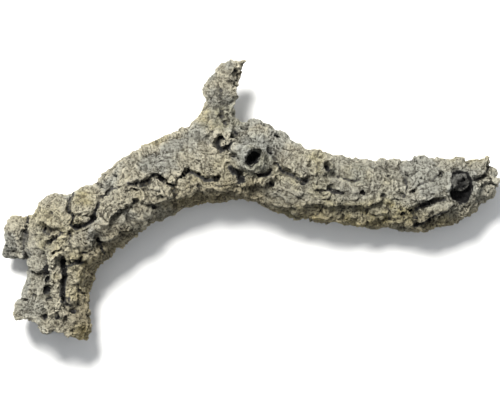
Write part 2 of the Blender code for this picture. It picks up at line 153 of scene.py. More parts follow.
# A trench's half width and depth, and the points of its line.
TRENCHES = (
    # Down the leg, and across its top
    (6, 14, (-226, -70), (-221, -84), (-221, -98), (-223, -107), (-224, -114), (-220, -123)),
    (2.6, 6, (-220, -122), (-214, -127), (-208, -137)),
    (4, 9, (-222, -79), (-214, -77), (-206, -73), (-197, -76)),
    (2.6, 6, (-215, -114), (-216, -124)),
    (2.8, 6, (-238, -65), (-230, -62), (-222, -59)),
    (2.4, 5, (-249, -62), (-244, -70), (-243, -82), (-249, -89), (-259, -87)),
    (2.0, 3.5, (-242, -104), (-243, -116), (-242, -123)),
    (2.6, 6, (-260, -111), (-259, -122)),
    (2.4, 5, (-243, -151), (-233, -156)),
    # Where the side stub grows out of the limb, and along it
    (3.6, 8, (-268, -16), (-270, -32), (-272, -50), (-270, -74)),
    (2.4, 4, (-294, -57), (-284, -62), (-274, -64)),
    (2.4, 5, (-246, -122), (-246, -132), (-248, -142)),
    (2.0, 4, (-229, -134), (-230, -148)),
    (2.4, 5, (-220, -139), (-220, -152)),
    (2.0, 4, (-215, -110), (-215, -122)),
    (2.8, 6, (-209, -96), (-204, -110), (-200, -124)),
    # Between the lobes of the bend
    (3.6, 9, (-244, -53), (-234, -47), (-226, -41), (-217, -39)),
    (4.2, 11, (-214, -31), (-204, -33), (-197, -31), (-188, -27), (-184, -22)),
    (3.2, 9, (-208, 10), (-214, 1), (-215, -10), (-211, -20), (-213, -31)),
    (2.4, 4, (-243, -20), (-235, -16), (-229, -20)),
    (3.0, 6, (-250, -49), (-246, -54)),
    (3.0, 6, (-214, -38), (-215, -50), (-211, -65)),
    (4, 7, (-181, -42), (-176, -54), (-172, -66)),
    (4.5, 10, (-178, 1), (-181, -9), (-185, -17), (-188, -27)),
    (3.6, 8, (-180, 5), (-172, 8), (-165, 12), (-156, 16)),
    (3.6, 7, (-187, 23), (-179, 19), (-172, 18)),
    (3.4, 7, (-162, 32), (-158, 26)),
    (2.2, 4, (-171, -26), (-176, -20), (-180, -14)),
    # Along the middle of the limb
    (3.2, 8, (-148, 18), (-136, 21), (-128, 22), (-121, 25), (-112, 31), (-105, 28), (-101, 22)),
    (4.4, 9, (-101, 21), (-95, 18), (-87, 20)),
    (3.4, 8, (-87, 22), (-82, 29), (-77, 33)),
    (4, 9, (-79, 32), (-70, 34), (-65, 32)),
    (4, 10, (-66, 31), (-57, 26), (-47, 23), (-37, 26)),
    (2.6, 5, (-144, -17), (-141, -26), (-139, -34)),
    (2.6, 5, (-111, -6), (-110, -15), (-108, -25)),
    (2.4, 5, (-90, 18), (-88, 8), (-90, 0)),
    (2.4, 5, (-71, 29), (-70, 18), (-72, 8)),
    (2.2, 4, (-60, 26), (-59, 16), (-61, 9)),
    (2.4, 5, (-122, 22), (-118, 12), (-120, 3)),
    (2.2, 3, (-100, 55), (-88, 57), (-76, 62), (-66, 63)),
    (5, 11, (-36, 77), (-38, 67), (-35, 60), (-29, 61), (-22, 65)),
    (3.0, 7, (-27, 62), (-20, 67), (-15, 72)),
    (2.4, 4, (-76, 88), (-74, 80), (-73, 72)),
    (2.4, 5, (-65, 84), (-62, 76), (-56, 72), (-51, 76), (-43, 83)),
    (2.0, 3.5, (-49, 102), (-54, 92), (-61, 84), (-65, 88)),
    (2.4, 4, (-71, 55), (-66, 58)),
    (2.6, 4, (-114, 76), (-113, 62), (-113, 50)),
    (2.0, 3, (-112, 67), (-98, 73)),
    (2.6, 5, (-150, 45), (-144, 50), (-135, 60), (-126, 65)),
    # Around the middle knot
    (6, 14, (-26, 42), (-20, 35), (-14, 30), (-12, 24), (-4, 23)),
    (5, 12, (7, 29), (15, 30), (22, 33), (27, 38)),
    (2.8, 6, (14, 18), (24, 18), (30, 23), (34, 28)),
    (3, 6, (-24, 63), (-20, 52), (-22, 44)),
    (3, 6, (-16, 52), (-14, 45)),
    # From the middle knot to the slot
    (2.2, 5, (23, 63), (28, 56), (31, 46)),
    (2.2, 4, (37, 66), (33, 58), (31, 50)),
    (3.4, 10, (27, 45), (34, 41), (39, 34), (48, 30), (57, 26), (66, 22), (73, 25)),
    (3.2, 8, (100, 29), (113, 25), (122, 23), (136, 25)),
    (3.2, 7, (76, 13), (84, 9), (92, 12), (96, 16)),
    (5.4, 11, (94, 15), (101, 9), (106, 9), (113, 5)),
    (2.4, 5, (43, 76), (45, 68)),
    (1.8, 5, (132, 6), (136, 9), (140, 8)),
    (1.8, 4.5, (139, 14), (143, 11)),
    (1.8, 4, (146, 9), (149, 6)),
    (2.4, 6, (28, 80), (32, 77), (37, 76)),
    # Across the lower side
    (1.7, 3.5, (28, -2), (31, -14)),
    (1.9, 4, (59, -11), (62, -26)),
    (1.7, 3.5, (77, -13), (74, -27)),
    (1.9, 4, (90, -12), (93, -29)),
    (1.8, 4, (112, -13), (109, -31)),
    (1.7, 3.5, (127, -12), (131, -24)),
    (2.2, 5, (139, -14), (142, -34)),
    (2.2, 5, (163, -6), (167, -26)),
    (2.0, 4.5, (180, -10), (184, -28)),
    # Towards the broken end
    (3.2, 9, (186, 29), (187, 20), (186, 10)),
    (3.0, 6, (180, 5), (185, 2)),
    (3.6, 9, (194, -14), (202, -10), (209, -7), (219, -2), (228, -1), (239, 2)),
    (3.4, 8, (195, -33), (206, -28), (216, -21), (226, -16), (238, -12)),
    (3.5, 7, (193, -14), (197, -26), (204, -33)),
    (3.0, 7, (190, 8), (200, 14), (212, 21), (222, 29), (229, 35)),
    (3.2, 9, (263, 26), (271, 24), (280, 30), (286, 38), (287, 43)),
    (3.0, 6, (271, 14), (283, 18), (296, 21)),
    (3.0, 6, (285, 28), (289, 23), (291, 15)),
    (2.4, 5, (260, 51), (261, 43)),
    (2.4, 5, (276, 51), (275, 43)),
    # On the upright branch
    (2.6, 4, (-12, 162), (-16, 151), (-16, 140), (-15, 133), (-17, 124), (-17, 114)),
    (1.8, 2.5, (-34, 141), (-26, 139), (-16, 139)),
    (1.8, 2.5, (-44, 108), (-39, 112), (-34, 116), (-27, 114), (-17, 114)),
    (1.8, 4, (-31, 120), (-31, 114)),
    (1.8, 4, (-41, 141), (-38, 133), (-35, 128), (-34, 120)),
    (2.2, 4, (-34, 110), (-32, 97), (-28, 91)),
)
# The crust ends in ledges that fade out at both ends. On the left of its line a ledge has a low lip, and
# on the right it drops. A row has the drop, how far it takes to fade, and the points of the line.
LEDGE_LIP = 1.6
LEDGE_LIP_FADE = 6.0
LEDGE_FACE = 2.6
LEDGE_END = 9.0
LEDGES = (
    (11, 22, (-174, -31), (-171, -27), (-163, -19), (-154, -12), (-148, -7), (-141, -3)),
    (9, 24, (-146, -14), (-141, -5), (-137, 0), (-126, -2), (-113, -5)),
    (7, 16, (-189, -42), (-177, -49), (-165, -48), (-156, -43), (-147, -39), (-138, -34)),
    (9, 26, (-124, -3), (-108, -5), (-94, -2), (-82, 4), (-65, 6), (-34, 7), (-12, 13)),
    (4.5, 14, (-158, 25), (-150, 32), (-139, 31), (-130, 38), (-120, 46), (-106, 50)),
    (5, 16, (-4, 18), (14, 16), (23, 19), (31, 26)),
    (7, 18, (60, -6), (82, -8), (104, -6), (122, -7), (133, -8), (146, -6), (158, 0), (163, 7)),
    (3.5, 14, (-113, 48), (-113, 62), (-114, 76)),
)
# A roll's half width and height, and the points of its line.
ROLLS = (
    (7, 7, (-235, -67), (-233, -101), (-227, -120), (-219, -144)),
    (6, 6, (-212, -82), (-206, -102), (-202, -126), (-199, -150)),
    (8, 6, (-184, -31), (-170, -12), (-154, 10), (-134, 28), (-115, 41)),
    (7, 4, (-108, 12), (-88, 8), (-64, 18), (-40, 18)),
    (5, 4, (-4, 18), (12, 23), (26, 32), (35, 38)),
    (8, 2.5, (-170, 34), (-151, 49), (-130, 61)),
    (9, 7, (190, -4), (202, 2), (216, 9), (232, 12)),
    (7.5, 7, (197, -24), (208, -17), (220, -11), (234, -6)),
    (8, 4, (200, 26), (214, 34), (230, 42)),
    (7, 5, (262, 34), (272, 33), (282, 40)),
    (5, 3.5, (268, 18), (282, 22), (294, 25)),
    (2.6, 3, (264, 30), (268, 20), (267, 8), (259, -1), (247, -4)),
)
# A lump's x, y, radius and height.
LUMPS = (
    (-235, -14, 24, 6), (-199, 0, 19, 6), (-254, -76, 12, 4), (-252, -102, 12, 3),
    (-277, -130, 11, 4), (-271, -139, 9, 4), (-202, -156, 10, 3), (-22, 89, 13, 4),
    (14, 86, 18, 6), (-59, 80, 9, 3.5), (-28, 74, 9, 3), (-46, 101, 9, 2.5),
    (-49, 131, 8, 2.5), (-94, 65, 14, 2.5), (158, 44, 8, 3), (174, 46, 8, 3),
    (209, 45, 13, 3.5), (252, 47, 9, 5), (269, 46, 8, 4.5), (281, 44, 6, 4),
    (114, 54, 10, 3), (48, 42, 10, 2.5), (54, 12, 12, 2.5), (162, 36, 11, 2.5),
    (138, -30, 10, 3), (204, -30, 12, 3),
)
# The knots, each an oval hole with a collar of cork, and how close the ripples of the collar are.
Knot = namedtuple("Knot", "x y long_radius short_radius turn collar collar_height depth")
KNOT_RIPPLES = 11.0
KNOTS = (
    Knot(3, 49, 9.2, 7.4, 33, 21, 10.5, 24),
    Knot(91, 38, 4.6, 3.8, 10, 12, 7.5, 10),
    Knot(252.5, 16, 20.0, 13.5, 98, 24, 4.0, 20),
)
# The rotted plug of dead wood that fills most of the last knot's hole.
PLUG_PLACE = (251.0, 20.5)
PLUG_RADIUS = 13.0
PLUG_HEIGHT = 11
# A pit's x, y, radius and depth.
PITS = (
    (71, 44, 3.4, 4), (271, 34, 2.4, 4), (277, 35, 2.4, 4), (230, 9, 2.6, 4),
    (165, 25, 3.4, 6), (161, 12, 2.6, 4), (161, 5, 2.6, 4), (86, 50, 3, 4),
    (-18, 80, 3, 5), (-5, 88, 3, 5), (34, 77, 3, 5), (-36, 144, 2.2, 3),
    (-29, 93, 3.4, 6), (-19, 81, 3.2, 6), (17, 88, 3.6, 5), (24, 84, 3.2, 5),
    (12, 82, 2.6, 4), (-30, 88, 3, 5), (-46, 83, 3.2, 5), (226, 22, 2.2, 3),
    (214, -16, 2.4, 4), (197, 32, 2.6, 4), (-116, 4, 3, 4), (-114, 13, 2.6, 4),
    (-124, 12, 3, 5), (-258, -112, 3, 5), (-270, -120, 3, 5), (-274, -108, 2.6, 4),
    (-240, -95, 2.6, 4), (-245, -36, 4.5, 7),
)

# The patches below are ovals that fade out: x, y, half length, half width, turn in degrees, strength.

# Where the crust has come off, and the smoother layer under it shows.
BARED = (
    (-120, -18, 52, 12, 14, 1.0), (-50, -2, 44, 8, 4, 0.8), (118, 14, 17, 12, 0, 0.8),
    (-205, -162, 10, 12, 0, 0.7),
)
# Where the bark is whole and fairly smooth.
WHOLE = (
    (-75, 64, 32, 15, 14, 1.0), (-199, 4, 17, 15, 0, 0.8), (-232, -12, 22, 18, 0, 0.7),
    (-130, 52, 30, 12, 38, 0.8), (-118, 33, 18, 8, 25, 0.8), (45, 42, 22, 20, -20, 0.8),
    (116, 38, 28, 14, -6, 0.8), (-36, 124, 18, 30, 0, 0.9), (150, 6, 16, 20, 0, 0.6),
    (222, 22, 24, 14, 20, 0.5), (-42, 98, 24, 20, 0, 1.0), (60, 8, 30, 12, -20, 0.5),
    (3, 49, 20, 16, 33, 0.9), (91, 38, 11, 10, 0, 0.9),
)
# Where the bark is broken up into chips.
CRUMBLED = (
    (-238, -138, 50, 22, -18, 1.0), (205, 20, 34, 34, 0, 0.7), (150, 12, 24, 20, 0, 0.5),
    (-120, 12, 40, 16, 12, 0.7), (2, 30, 34, 20, 0, 0.6), (250, 44, 34, 12, 0, 0.6),
    (-176, 4, 22, 12, 30, 0.5), (-190, -58, 24, 20, -20, 1.0), (60, -14, 60, 10, -10, 0.5),
)
# Where the bark is wrinkled across the limb.
WRINKLED = (
    (116, 40, 26, 14, -6, 1.0), (45, 44, 20, 16, -20, 1.0), (-128, 48, 22, 14, 40, 0.9),
    (150, 10, 20, 24, 0, 0.6), (-60, 52, 34, 12, 10, 0.6), (206, -20, 34, 12, 0, 0.5),
)
# Where the bark has yellowed, and where it has greyed.
YELLOWED = (
    (-198, 3, 15, 13, 0, 0.8), (-34, 98, 30, 17, 0, 0.7), (-204, -160, 12, 14, 0, 1.0),
    (122, -18, 96, 18, 0, 0.9), (-60, -2, 50, 8, 5, 0.4), (126, 30, 22, 16, 0, 0.35),
)
GREYED = (
    (6, 56, 30, 28, 0, 1.0), (-252, -78, 20, 52, 0, 0.4), (170, 14, 150, 60, 0, 0.45),
    (252, 18, 24, 26, 0, 0.9), (-262, -128, 22, 16, 0, 0.6),
)

# The leg is broken off. Flakes of bark stand past its last rib: x, and how far past.
FOOT_FLAKES = ((-292, 5), (-276, 1), (-262, 2), (-247, 14), (-234, 5), (-216, 2), (-203, 4), (-190, 5))
# The upright branch's top is broken off level, with a spike at its right.
TOP_FLAKES = ((-42, 5), (-30, 4), (-20, 1), (-13, 1), (-5, 4))
# How far down the branch the bark is drawn out with its flakes.
FLAKE_ROOT = 14.0
# The rotted heart of a broken end: its rim as a share of the branch there, and its depth.
FOOT_END = (0.76, 9.0)
BROKEN_END = (0.6, 2.5)
# The bottom of a rotted heart, as a share of its rim.
HEART_TAPER = 0.92
# How far below a rotted heart the wood still shows as broken.
BROKEN_REACH = 6.0

# Each fork is smoothed round a middle: x and y, how much y counts, and from where to where it fades out.
FORKS = ((-40.0, 84.0, 1.2, 18.0, 36.0), (-264.0, -46.0, 0.6, 14.0, 30.0))
FORK_ROUNDS = 14
# The limb's crust beside the upright branch, up to this far past the joint, is held this short of it.
FORK_REACH = 8.0
FORK_ROOM = 0.5

# Rings and sides of the smooth tubes.
LIMB_TUBE, UPRIGHT_TUBE, STUB_TUBE = (240, 72), (70, 40), (40, 40)
# A branch's curve: steps from rib to rib, and places read along the limb and along a growth.
SPAN_STEPS, LIMB_PLACES, GROWTH_PLACES = 40, 160, 24
# How many rings show the direction of a tube at its end.
END_RUN = 8
# How far apart the branches are laid when they are straightened, so that their bark doesn't repeat.
BRANCH_GAP = 1000.0
# How many points are straightened at a time.
BATCH = 20000

# A trench gets shallower over this length at its ends, down to this share of its depth.
TRENCH_END = 5.0
TRENCH_END_SHARE = 0.35
# A patch fades out between these shares of its size.
PATCH_EDGE = (0.55, 1.25)
# The shallow moat round a lump, and the ripples round a knot.
MOAT_DEPTH = 0.5
RIPPLE_HEIGHT = 1.1
# The upper face of the limb is higher than this.
UPPER_FACE = 40.0

# Turns the noises' own grid away from the directions of the limb and of the mesh.
SKEW = np.array(Euler((0.9, 0.5, 1.1)).to_matrix())
SCATTER_FACTORS = np.array([12.99, 78.23, 37.72])
SCATTER_SCALE = 43758.55

# How drawn lines and the bark's own forms waver: the size, reach and seed of each noise.
DRAWN_WAVERS = ((15.0, 3.0, 0.0), (5.5, 1.7, 7.0), (2.6, 0.8, 17.0))
LOOSE_WAVERS = ((14.0, 5.0, 3.0), (5.0, 1.5, 11.0))

# Plates: their size along, across and through the branch, a shift that sets them apart from other forms,
# and how unevenly they stand, how much they tilt and how deep the gaps between them are.
BROAD_PLATES = ((19.0, 14.0, 14.0), 0.0, 2.6, 5.0, 1.0)
SMALL_PLATES = ((7.0, 9.0, 9.0), 40.0, 1.0, 2.4, 0.4)
PLATE_GAP = 0.1
# Fine lines: their size along, across and through the branch, a shift, and the seed of their waver.
WRINKLES = ((7.0, 19.0, 19.0), 0.0, 5.0)
SPLITS = ((10.0, 16.0, 16.0), 21.0, 6.0)
SEAMS = ((26.0, 9.0, 9.0), 61.0, 8.0)
SPLIT_DEPTH = 2.6
SEAM_DEPTH = 3.0
# Sizes and heights of the layers, puffs, crumbs, swellings and torn wood.
LAYER_SIZE, LAYER_HEIGHT = (20.0, 13.0, 13.0), 3.6
PUFF_SIZE, PUFF_HEIGHT = (15.0, 21.0, 21.0), 2.6
CRUMB_SIZE = 6.0
SWELLING_SIZE, SWELLING_HEIGHT = 26.0, 1.8
TEAR_SIZE, TEAR_HEIGHT = 8.0, 4.0

# The grit's folds are longer across the branch than along it.
FOLD_STRETCH = (1.0, 0.2, 0.2)
# How often places are spread to their neighbours, to tell the narrow hollows and the wide ones.
FINE_ROUNDS = 6
WIDE_ROUNDS = 45
# Openings deeper than this are darkened no further as painted shade.
DEEPEST_SUNK = 14.0

# The plain floor reaches this far each way from the branch.
FLOOR_REACH = 4.0
SKY_COLOUR = (0.93, 0.96, 1.0, 1.0)
SKY_STRENGTH = 0.45
# Square soft boxes that point at the branch: name, place, size, power and colour.
LIGHTS = (
    ("key", (-0.8, 1.6, 2.4), 0.9, 205.0, (1.0, 0.985, 0.955)),
    ("fill", (0.4, 0.4, 2.9), 2.4, 8.0, (0.95, 0.97, 1.0)),
)


# Shapes


def smooth_step(low, high, value):
    """0 up to low and 1 from high on, with a soft climb between them."""
    share = np.clip((value - low) / (high - low), 0.0, 1.0)
    return share * share * (3.0 - 2.0 * share)


def run_along(rows):
    """How far along a line each of its rows is, seen from above."""
    steps = np.linalg.norm(np.diff(rows[:, :2], axis=0), axis=1)
    return np.concatenate([[0.0], np.cumsum(steps)])


def curve_through(rows, count):
    """A smooth curve (Catmull-Rom) through rows of numbers, read at count places spaced evenly in x and y."""
    rows = np.array(rows, float)
    ends = np.vstack([2 * rows[0] - rows[1], rows, 2 * rows[-1] - rows[-2]])
    share = np.linspace(0.0, 1.0, SPAN_STEPS, endpoint=False)[:, None]
    spans = []
    for a, b, c, d in zip(ends, ends[1:], ends[2:], ends[3:]):
        bend = 2 * a - 5 * b + 4 * c - d + share * (3 * (b - c) + d - a)
        spans.append(b + 0.5 * share * (c - a + share * bend))
    dense = np.vstack([*spans, rows[-1:]])
    run = run_along(dense)
    places = np.linspace(0.0, run[-1], count)
    return np.stack([np.interp(places, run, column) for column in dense.T], axis=1)


def rib_rows(ribs):
    """Centre x and y, half of the rib as x and y, half thickness and centre height of each rib."""
    rows = []
    for outer, inner, thick, lift in ribs:
        outer, inner = np.array(outer, float), np.array(inner, float)
        rows.append([*(outer + inner) / 2, *(outer - inner) / 2, thick / 2, lift + thick / 2])
    return rows


def inward_from(ring, further):
    """The level direction from an end ring into the branch."""
    step = (further.mean(axis=0) - ring.mean(axis=0)) * (1, 1, 0)
    return step / np.linalg.norm(step)


def end_rings(ring, further, end):
    """The inside of an end's rim, and the bottom of the rotted heart."""
    share, depth = end
    middle = ring.mean(axis=0)
    inside = middle + (ring - middle) * share
    heart = middle + (ring - middle) * share * HEART_TAPER + inward_from(ring, further) * depth
    return inside, heart


def draw_out_flakes(rings, flakes):
    """A branch's first rings moved outward along it by its flakes."""
    inward = inward_from(rings[0], rings[END_RUN])
    run = (rings.mean(axis=1) - rings[0].mean(axis=0)) @ inward
    weight = 1.0 - smooth_step(0.0, FLAKE_ROOT, run)
    length = np.interp(rings[:, :, 0], *zip(*flakes))
    return rings - (weight[:, None] * length)[:, :, None] * inward


def smooth_tube(ribs, ring_count, sides, first_end=None, last_end=None, flakes=()):
    """Vertices and faces of one closed branch without bark."""
    rows = curve_through(rib_rows(ribs), ring_count)
    turns = np.linspace(0.0, 2 * math.pi, sides, endpoint=False)
    across, up = np.cos(turns)[None, :, None], np.sin(turns)[None, :, None]
    centre = np.column_stack([rows[:, 0], rows[:, 1], rows[:, 5]])[:, None, :]
    side = np.column_stack([rows[:, 2], rows[:, 3], np.zeros(ring_count)])[:, None, :]
    rise = np.column_stack([np.zeros((ring_count, 2)), rows[:, 4]])[:, None, :]
    rings = centre + side * across + rise * up
    if flakes:
        rings = draw_out_flakes(rings, flakes)
    rings = list(rings)
    if first_end:
        inside, heart = end_rings(rings[0], rings[END_RUN], first_end)
        rings = [heart, inside, *rings]
    if last_end:
        rings += end_rings(rings[-1], rings[-END_RUN], last_end)
    vertices = np.vstack([*rings, rings[0].mean(axis=0), rings[-1].mean(axis=0)])
    first_cap, last_cap = len(vertices) - 2, len(vertices) - 1
    last_ring = (len(rings) - 1) * sides
    faces = []
    for j in range(sides):
        k = (j + 1) % sides
        for i in range(0, last_ring, sides):
            faces.append((i + j, i + k, i + sides + k, i + sides + j))
        faces.append((first_cap, k, j))
        faces.append((last_cap, last_ring + j, last_ring + k))
    return vertices, faces


def joined(*parts):
    """The vertices and faces of several forms as one."""
    vertices, faces = [], []
    for part_vertices, part_faces in parts:
        start = sum(len(v) for v in vertices)
        vertices.append(part_vertices)
        faces += [tuple(start + i for i in face) for face in part_faces]
    return np.vstack(vertices), faces


def new_mesh(name, vertices, faces):
    mesh = bpy.data.meshes.new(name)
    mesh.from_pydata(vertices.tolist(), [], faces)
    mesh.update()
    return mesh


def through_modifier(mesh, kind, helper=None, **settings):
    """The mesh that one modifier makes of a mesh. The first mesh is deleted."""
    helper = helper or bpy.data.objects.new("bark_helper", mesh)
    bpy.context.scene.collection.objects.link(helper)
    modifier = helper.modifiers.new(kind, kind)
    for name, value in settings.items():
        setattr(modifier, name, value)
    graph = bpy.context.evaluated_depsgraph_get()
    graph.update()
    made = bpy.data.meshes.new_from_object(helper.evaluated_get(graph))
    bpy.data.objects.remove(helper, do_unlink=True)
    bpy.data.meshes.remove(mesh)
    return made


def remeshed(mesh, pitch):
    """One even skin round whatever the mesh encloses, on a grid that is turned away from the limb."""
    turn = Matrix(SKEW).to_4x4()
    mesh.transform(turn)
    mesh = through_modifier(mesh, "REMESH", mode="VOXEL", voxel_size=pitch, use_smooth_shade=True)
    mesh.transform(turn.inverted())
    return mesh


def vectors_of(items, name):
    """One vector of each of a mesh's items, as rows."""
    values = np.empty(len(items) * 3)
    items.foreach_get(name, values)
    return values.reshape(-1, 3)


def points_of(mesh):
    return vectors_of(mesh.vertices, "co")


def normals_of(mesh):
    return vectors_of(mesh.vertex_normals, "vector")


def set_points(mesh, points):
    mesh.vertices.foreach_set("co", points.ravel())
    mesh.update()


def blurred(mesh, values, rounds, weight=None):
    """Values at the vertices, each spread to its neighbours a number of times."""
    edges = np.empty(len(mesh.edges) * 2, int)
    mesh.edges.foreach_get("vertices", edges)
    one, other = edges[0::2], edges[1::2]
    count = len(mesh.vertices)
    neighbours = np.bincount(one, minlength=count) + np.bincount(other, minlength=count)
    values = values.reshape(count, -1).copy()
    pull = 0.5 if weight is None else 0.5 * weight[:, None]
    for _ in range(rounds):
        totals = [
            np.bincount(one, column[other], count) + np.bincount(other, column[one], count)
            for column in values.T
        ]
        values += pull * (np.stack(totals, axis=1) / neighbours[:, None] - values)
    return values


def sampled(function, points, size, *settings):
    """One of Blender's noises at each point, with its features about size across."""
    return np.array([function(Vector(p), *settings) for p in (points @ SKEW / size).tolist()])


def scattered(places, seed):
    """A number from 0 to 1 that is the same wherever the place is the same."""
    mixed_up = np.sin(places @ SCATTER_FACTORS + seed) * SCATTER_SCALE
    return mixed_up - np.floor(mixed_up)


def plates(places, size, shift, step, tilt, gap):
    """Height of plates of a size: each stands and tilts its own way, with a gap all round it."""
    places = places / size + shift
    border = np.empty(len(places))
    centres = np.empty((len(places), 3))
    for i, p in enumerate(places.tolist()):
        distances, nearest = noise.voronoi(Vector(p))
        border[i] = distances[1] - distances[0]
        centres[i] = nearest[0]
    lean = np.stack([scattered(centres, seed) - 0.5 for seed in (2.0, 4.0, 6.0)], axis=1)
    height = step * (scattered(centres, 0.0) - 0.5)
    height += tilt * ((places - centres) * lean).sum(axis=1)
    return height - gap * (1.0 - smooth_step(0.0, PLATE_GAP, border))


def terraced(values, steps, edge):
    """Values from about -1 to 1 made into flat steps with steep edges."""
    climbed = values * steps
    whole = np.floor(climbed)
    return (whole + smooth_step(0.5 - edge, 0.5 + edge, climbed - whole)) / steps


def wavering(points, wavers):
    """Points moved about by noises, so that lines drawn on them waver."""
    for size, reach, seed in wavers:
        moved = [noise.noise_vector(Vector(p)) for p in (points @ SKEW / size + seed).tolist()]
        points = points + reach * np.array([tuple(m) for m in moved])
    return points


def line_places(straight, size, shift, seed):
    """Straightened places at the size of fine lines, so that a noise of size 1 draws them."""
    return wavering(straight / size + shift, ((1.0, 0.5, seed),))


def along_path(points, path, reach):
    """Which points are near a bent line seen from above, their distance, run and side, and its length.

    The side is +1 on the line's left.
    """
    corners = np.array(path, float)
    low, high = corners.min(axis=0) - reach, corners.max(axis=0) + reach
    near = np.nonzero(((points[:, :2] > low) & (points[:, :2] < high)).all(axis=1))[0]
    close = points[near, :2]
    nearest = np.full(len(near), np.inf)
    run, side = np.zeros(len(near)), np.ones(len(near))
    travelled = 0.0
    for start, end in zip(corners, corners[1:]):
        step = end - start
        length = np.linalg.norm(step)
        from_start = close - start
        share = np.clip(from_start @ step / length**2, 0.0, 1.0)
        distance = np.linalg.norm(from_start - share[:, None] * step, axis=1)
        closer = distance < nearest
        nearest = np.where(closer, distance, nearest)
        run = np.where(closer, travelled + share * length, run)
        side = np.where(closer, np.sign(step[0] * from_start[:, 1] - step[1] * from_start[:, 0]), side)
        travelled += length
    return near, nearest, run, side, travelled


def tapered(run, length, end, least=0.0):
    """1 along a line, and down to least at both of its ends."""
    return least + (1.0 - least) * smooth_step(0.0, end, run) * smooth_step(0.0, end, length - run)


def distance_from(points, x, y):
    return np.hypot(points[:, 0] - x, points[:, 1] - y)


def oval_share(points, x, y, long_radius, short_radius, turn):
    """Distance from an oval's centre, as a share of the oval's radius that way."""
    turn = math.radians(turn)
    dx, dy = points[:, 0] - x, points[:, 1] - y
    along = (dx * math.cos(turn) + dy * math.sin(turn)) / long_radius
    across = (dy * math.cos(turn) - dx * math.sin(turn)) / short_radius
    return np.hypot(along, across)


def knot_share(points, knot):
    """Distance from a knot's centre, as a share of its hole's radius that way."""
    return oval_share(points, *knot[:5])


def plug_share(points):
    """Distance from the middle of the dead plug, as a share of its radius."""
    return distance_from(points, *PLUG_PLACE) / PLUG_RADIUS


def in_patches(points, patches):
    """How much each point lies in any of the patches, fading out at their edges."""
    covered = np.zeros(len(points))
    for *oval, strength in patches:
        inside = 1.0 - smooth_step(*PATCH_EDGE, oval_share(points, *oval))
        covered = np.maximum(covered, strength * inside)
    return covered


def openings(drawn):
    """Depth of the trenches, the pits and the holes of the knots."""
    depth = np.zeros(len(drawn))
    for half_width, deep, *path in TRENCHES:
        near, distance, run, _, length = along_path(drawn, path, 4 * half_width)
        taper = tapered(run, length, TRENCH_END, TRENCH_END_SHARE)
        depth[near] += deep * taper * (1.0 - smooth_step(0.0, 1.05, distance / half_width))
    for x, y, radius, deep in PITS:
        depth += deep * np.exp(-((distance_from(drawn, x, y) / radius) ** 3))
    for knot in KNOTS:
        share = knot_share(drawn, knot)
        rounded = 1.0 - 0.3 * smooth_step(0.0, 0.7, share)
        depth += knot.depth * (1.0 - smooth_step(0.9, 1.12, share)) * rounded
    return depth - PLUG_HEIGHT * (1.0 - smooth_step(0.75, 1.1, plug_share(drawn)))


def raised_forms(drawn):
    """Height of the upper face's ledges, rolls, lumps and the mounds round the knots."""
    height = np.zeros(len(drawn))
    for drop, fade, *path in LEDGES:
        near, distance, run, side, length = along_path(drawn, path, 3 * fade)
        below = np.where(side < 0, smooth_step(0.0, LEDGE_FACE, distance), 0.0)
        lip = np.where(side > 0, np.exp(-distance / LEDGE_LIP_FADE), 0.0)
        shape = LEDGE_LIP * lip - drop * below * np.exp(-distance / fade)
        height[near] += tapered(run, length, LEDGE_END) * shape
    for half_width, high, *path in ROLLS:
        near, distance, _, _, _ = along_path(drawn, path, 3 * half_width)
        height[near] += high * np.exp(-((distance / half_width) ** 2))
    for x, y, radius, high in LUMPS:
        share = distance_from(drawn, x, y) / radius
        dome = np.sqrt(np.clip(1.0 - share**2, 0.0, 1.0))
        height += high * dome - MOAT_DEPTH * np.exp(-(((share - 1.05) * radius / 2.0) ** 2))
    for knot in KNOTS:
        share = knot_share(drawn, knot)
        distance = distance_from(drawn, knot.x, knot.y) / knot.collar
        height += knot.collar_height * (1.0 - smooth_step(0.4, 1.05, distance))
        rim = 0.2 + 1.4 / knot.short_radius
        height += 0.4 * knot.collar_height * np.exp(-(((share - 1.4) / rim) ** 2))
        ringed = smooth_step(1.2, 1.5, share) * (1.0 - smooth_step(0.8, 1.2, distance))
        height += RIPPLE_HEIGHT * ringed * np.sin(share * KNOT_RIPPLES)
    return height


def straightened(points):
    """Each point's run along the nearest branch, its way across it, and its height."""
    best = np.full(len(points), np.inf)
    straight = np.zeros((len(points), 3))
    straight[:, 2] = points[:, 2]
    branches = ((LIMB_RIBS, LIMB_PLACES), (UPRIGHT_RIBS, GROWTH_PLACES), (STUB_RIBS, GROWTH_PLACES))
    for number, (ribs, places) in enumerate(branches):
        rows = curve_through(rib_rows(ribs), places)
        runs = run_along(rows)
        half = np.linalg.norm(rows[:, 2:4], axis=1)
        onward = np.gradient(rows[:, :2], axis=0)
        onward /= np.linalg.norm(onward, axis=1)[:, None]
        for start in range(0, len(points), BATCH):
            part = slice(start, start + BATCH)
            flat = points[part, None, :2] - rows[None, :, :2]
            away = np.linalg.norm(flat, axis=2) / half
            nearest = away.argmin(axis=1)
            chosen = np.take_along_axis(away, nearest[:, None], axis=1)[:, 0]
            from_centre = flat[np.arange(len(nearest)), nearest]
            ahead, beside = onward[nearest], onward[nearest][:, ::-1] * (-1.0, 1.0)
            run = runs[nearest] + (from_centre * ahead).sum(axis=1) + number * BRANCH_GAP
            across = (from_centre * beside).sum(axis=1)
            better = chosen < best[part]
            best[part] = np.where(better, chosen, best[part])
            straight[part, 0] = np.where(better, run, straight[part, 0])
            straight[part, 1] = np.where(better, across, straight[part, 1])
    return straight


